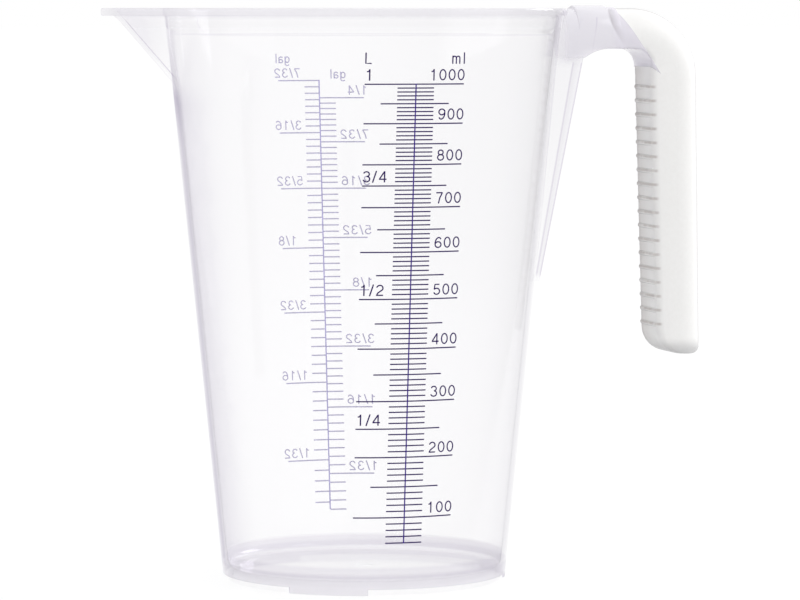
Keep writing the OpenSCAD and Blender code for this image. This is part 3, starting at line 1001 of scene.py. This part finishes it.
def make_world():
    """White where it is looked at; light that grows from the left to the right elsewhere."""
    world = bpy.data.worlds.new("studio")
    bpy.context.scene.world = world
    world.use_nodes = True
    n = Nodes(world.node_tree)
    direction = n.coords("Generated")
    right = n.vector("DOT_PRODUCT", "Value", direction, (0.86, -0.30, 0.41))
    ahead = n.vector("DOT_PRODUCT", "Value", direction, (0.27, 0.96, -0.07))
    across = n.vector("DOT_PRODUCT", "Value", direction, (0.963, -0.27, 0.0))
    light = n.plus(n.times(right, 0.32), 0.94)
    rays = n.nodes.new("ShaderNodeLightPath").outputs
    glossy = n.minus(rays["Is Glossy Ray"], rays["Is Transmission Ray"], True)
    screen = n.ramp(n.minus(ahead, n.times(glossy, 0.17)), 0.75, 0.9)
    dim = n.ramp(right, -0.7, 0.6, 0.4, 1.25)
    boxes = n.times(n.ramp(n.size(across), 0.6, 0.9, 0.0, 1.5), n.ramp(ahead, 0.3, 0.0), glossy)
    shown = n.larger(n.larger(n.larger(screen, dim), boxes), rays["Is Camera Ray"])
    back = n.nodes["Background"].inputs
    n.put(back["Strength"], n.mix(seen_rays(n), light, shown, kind="FLOAT"))
    n.put(back["Color"], WHITE)


# The photo's camera, from the fit to the printed lines and the outline; places in metres
CAMERA_PLACE = (-0.3212, -1.1863, 0.16457)
CAMERA_AZIMUTH = math.radians(-15.6426)
CAMERA_PITCH = math.radians(3.8578)
CAMERA_LENS = 189.19
LAMP_AIM = (0.05, 0, 0.08)


def make_lamp(name, place, width, power):
    """A square lamp that shines on the jug's middle."""
    data = bpy.data.lights.new(name, "AREA")
    data.shape = "RECTANGLE"
    data.size = data.size_y = width
    data.energy = power
    lamp = bpy.data.objects.new(name, data)
    lamp.location = place
    towards = Vector(LAMP_AIM) - Vector(place)
    lamp.rotation_euler = towards.to_track_quat("-Z", "Y").to_euler()
    bpy.context.scene.collection.objects.link(lamp)


def make_camera():
    data = bpy.data.cameras.new("camera")
    data.lens = CAMERA_LENS
    data.sensor_width = 36
    data.sensor_fit = "HORIZONTAL"
    data.clip_start = 0.01
    cam = bpy.data.objects.new("camera", data)
    right = Vector((math.cos(CAMERA_AZIMUTH), math.sin(CAMERA_AZIMUTH), 0))
    level_way = Vector((-right.y, right.x, 0))
    forward = level_way * math.cos(CAMERA_PITCH) - Vector((0, 0, math.sin(CAMERA_PITCH)))
    up = right.cross(forward)
    axes = Matrix((right, up, -forward)).transposed().to_4x4()
    cam.matrix_world = Matrix.Translation(CAMERA_PLACE) @ axes
    bpy.context.scene.collection.objects.link(cam)
    bpy.context.scene.camera = cam


make_camera()
make_world()
make_floor()
make_lamp("key", (1.2, -1.0, 1.4), 0.8, 3.6)
make_lamp("edge", (1.4, 0.45, 0.6), 0.6, 6)

body = make_body()
handle = make_bridge()
apply_boolean(handle, make_gusset(), "UNION")
apply_boolean(body, handle, "UNION")
shade(body, SHARP_DEGREES)
body.data.materials.clear()
body.data.materials.append(clear_plastic())
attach(body, "root")
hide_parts("jug_body")

grip = make_grip()
shade(grip, SHARP_DEGREES)
grip.data.materials.clear()
grip.data.materials.append(white_plastic())
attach(grip, "root")
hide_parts("handle_grip")

front_ink = ink("front_ink_look", FRONT_INK, FRONT_UPRIGHT, 0)
back_ink = ink("back_ink_look", BACK_INK, BACK_UPRIGHT, BACK_UPRIGHT_X)
for name, look in (("metric_scale", front_ink), ("uk_gallon_scale", back_ink),
                   ("us_gallon_scale", back_ink)):
    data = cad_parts[name].data
    data.materials.clear()
    data.materials.append(look)
for piece, look, slot in ((make_front_figures(), front_ink, "front_ink"),
                          (make_back_figures(), back_ink, "back_ink")):
    piece.data.materials.append(look)
    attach(piece, "root")

scene = bpy.context.scene
scene.view_settings.view_transform = "Standard"
